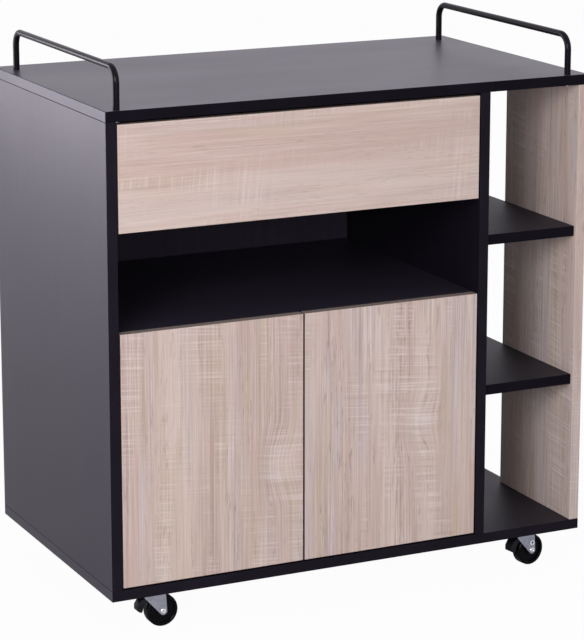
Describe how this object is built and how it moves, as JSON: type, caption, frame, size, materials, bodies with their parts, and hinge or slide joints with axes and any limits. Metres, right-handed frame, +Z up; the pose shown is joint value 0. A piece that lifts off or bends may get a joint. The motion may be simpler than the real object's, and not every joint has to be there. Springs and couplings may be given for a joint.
{
  "type": "kitchen cart",
  "caption": "Wheeled kitchen cart with black board carcass, sawn-oak drawer and doors, an open compartment, open side shelves and bent-rod handles on the worktop.",
  "frame": {"origin": "on the floor under the middle of the cart's bounding box", "axes": "+X to the right seen from the front, +Y to the back, +Z up"},
  "size_m": [0.8, 0.466, 0.86],
  "materials": {
    "black_board": "satin black melamine on chipboard",
    "black_hardboard": "black faced hardboard",
    "oak_board": "light sawn-oak melamine, matt",
    "drawer_board": "black melamine on chipboard",
    "beech": "fluted beech",
    "black_rod": "black powder coat",
    "zinc_steel": "bright zinc plate",
    "cast_zinc": "die-cast zinc",
    "runner_steel": "blue zinc plate",
    "hinge_nickel": "nickel plate",
    "wheel_black": "moulded black, slightly worn",
    "pedal_black": "moulded black nylon"
  },
  "bodies": {
    "carcass": {"top_panel": "black_board", "bottom_panel": "black_board", "left_side_panel": "black_board", "divider_panel": "black_board", "right_side_panel": "oak_board", "compartment_shelf": "black_board", "upper_side_shelf": "black_board", "lower_side_shelf": "black_board", "back_panel": "black_hardboard", "cupboard_shelf": "black_board", "shelf_pins": "zinc_steel", "left_handle": "black_rod", "right_handle": "black_rod", "handle_screws": "zinc_steel", "cam_locks": "cast_zinc", "cam_bolts": "zinc_steel", "wooden_dowels": "beech", "left_cabinet_rail": "runner_steel", "right_cabinet_rail": "runner_steel", "rail_screws": "zinc_steel", "hinge_arms": "hinge_nickel", "hinge_plates": "hinge_nickel", "hinge_screws": "zinc_steel", "caster_plates": "zinc_steel", "caster_kingpins": "zinc_steel", "caster_screws": "zinc_steel"},
    "drawer": {"drawer_front": "oak_board", "drawer_left_side": "drawer_board", "drawer_right_side": "drawer_board", "drawer_back": "drawer_board", "drawer_bottom": "black_hardboard", "drawer_screws": "zinc_steel", "drawer_dowels": "beech", "left_drawer_rail": "runner_steel", "right_drawer_rail": "runner_steel", "drawer_rail_screws": "zinc_steel"},
    "left_cage": {"left_ball_cage": "runner_steel"},
    "right_cage": {"right_ball_cage": "runner_steel"},
    "left_leaf": {"left_door": "oak_board", "left_hinge_cups": "hinge_nickel", "left_cup_screws": "zinc_steel"},
    "right_leaf": {"right_door": "oak_board", "right_hinge_cups": "hinge_nickel", "right_cup_screws": "zinc_steel"},
    "left_links": {"left_hinge_links": "hinge_nickel"},
    "right_links": {"right_hinge_links": "hinge_nickel"},
    "front_left_swivel": {"front_left_fork": "zinc_steel", "front_left_axle": "zinc_steel"},
    "front_left_roller": {"front_left_wheel": "wheel_black"},
    "front_left_brake": {"front_left_brake_pedal": "pedal_black"},
    "front_right_swivel": {"front_right_fork": "zinc_steel", "front_right_axle": "zinc_steel"},
    "front_right_roller": {"front_right_wheel": "wheel_black"},
    "front_right_brake": {"front_right_brake_pedal": "pedal_black"},
    "rear_left_swivel": {"rear_left_fork": "zinc_steel", "rear_left_axle": "zinc_steel"},
    "rear_left_roller": {"rear_left_wheel": "wheel_black"},
    "rear_right_swivel": {"rear_right_fork": "zinc_steel", "rear_right_axle": "zinc_steel"},
    "rear_right_roller": {"rear_right_wheel": "wheel_black"}
  },
  "joints": [
    {"name": "drawer_slide", "type": "slide", "parent": "carcass", "child": "drawer", "axis": [0, -1, 0], "range_m": [0, 0.25]},
    {"name": "left_cage_slide", "type": "slide", "parent": "carcass", "child": "left_cage", "axis": [0, -1, 0], "range_m": [0, 0.125]},
    {"name": "right_cage_slide", "type": "slide", "parent": "carcass", "child": "right_cage", "axis": [0, -1, 0], "range_m": [0, 0.125]},
    {"name": "left_door_hinge", "type": "hinge", "parent": "carcass", "child": "left_leaf", "pos_m": [-0.3785, -0.229, 0.274], "axis": [0, 0, -1], "range_deg": [0, 100]},
    {"name": "right_door_hinge", "type": "hinge", "parent": "carcass", "child": "right_leaf", "pos_m": [0.206, -0.229, 0.274], "axis": [0, 0, 1], "range_deg": [0, 100]},
    {"name": "left_link_pivot", "type": "hinge", "parent": "carcass", "child": "left_links", "pos_m": [-0.379, -0.212, 0.274], "axis": [0, 0, -1], "range_deg": [0, 50]},
    {"name": "right_link_pivot", "type": "hinge", "parent": "carcass", "child": "right_links", "pos_m": [0.2065, -0.212, 0.274], "axis": [0, 0, 1], "range_deg": [0, 50]},
    {"name": "front_left_swivel_turn", "type": "hinge", "parent": "carcass", "child": "front_left_swivel", "pos_m": [-0.32, -0.193, 0.056], "axis": [0, 0, 1], "continuous": true},
    {"name": "front_left_wheel_spin", "type": "hinge", "parent": "front_left_swivel", "child": "front_left_roller", "pos_m": [-0.307, -0.193, 0.025], "axis": [0, 1, 0], "continuous": true},
    {"name": "front_left_brake_press", "type": "hinge", "parent": "front_left_swivel", "child": "front_left_brake", "pos_m": [-0.329, -0.193, 0.0467], "axis": [0, -1, 0], "range_deg": [0, 12]},
    {"name": "front_right_swivel_turn", "type": "hinge", "parent": "carcass", "child": "front_right_swivel", "pos_m": [0.32, -0.193, 0.056], "axis": [0, 0, 1], "continuous": true},
    {"name": "front_right_wheel_spin", "type": "hinge", "parent": "front_right_swivel", "child": "front_right_roller", "pos_m": [0.3328, -0.19074, 0.025], "axis": [-0.1736, 0.9848, 0], "continuous": true},
    {"name": "front_right_brake_press", "type": "hinge", "parent": "front_right_swivel", "child": "front_right_brake", "pos_m": [0.31114, -0.19456, 0.0467], "axis": [0.1736, -0.9848, 0], "range_deg": [0, 12]},
    {"name": "rear_left_swivel_turn", "type": "hinge", "parent": "carcass", "child": "rear_left_swivel", "pos_m": [-0.32, 0.193, 0.056], "axis": [0, 0, 1], "continuous": true},
    {"name": "rear_left_wheel_spin", "type": "hinge", "parent": "rear_left_swivel", "child": "rear_left_roller", "pos_m": [-0.307, 0.193, 0.025], "axis": [0, 1, 0], "continuous": true},
    {"name": "rear_right_swivel_turn", "type": "hinge", "parent": "carcass", "child": "rear_right_swivel", "pos_m": [0.32, 0.193, 0.056], "axis": [0, 0, 1], "continuous": true},
    {"name": "rear_right_wheel_spin", "type": "hinge", "parent": "rear_right_swivel", "child": "rear_right_roller", "pos_m": [0.333, 0.193, 0.025], "axis": [0, 1, 0], "continuous": true}
  ],
  "couplings": [
    {"joint": "left_cage_slide", "follows": "drawer_slide", "ratio": 0.5},
    {"joint": "right_cage_slide", "follows": "drawer_slide", "ratio": 0.5},
    {"joint": "left_link_pivot", "follows": "left_door_hinge", "ratio": 0.5},
    {"joint": "right_link_pivot", "follows": "right_door_hinge", "ratio": 0.5}
  ]
}
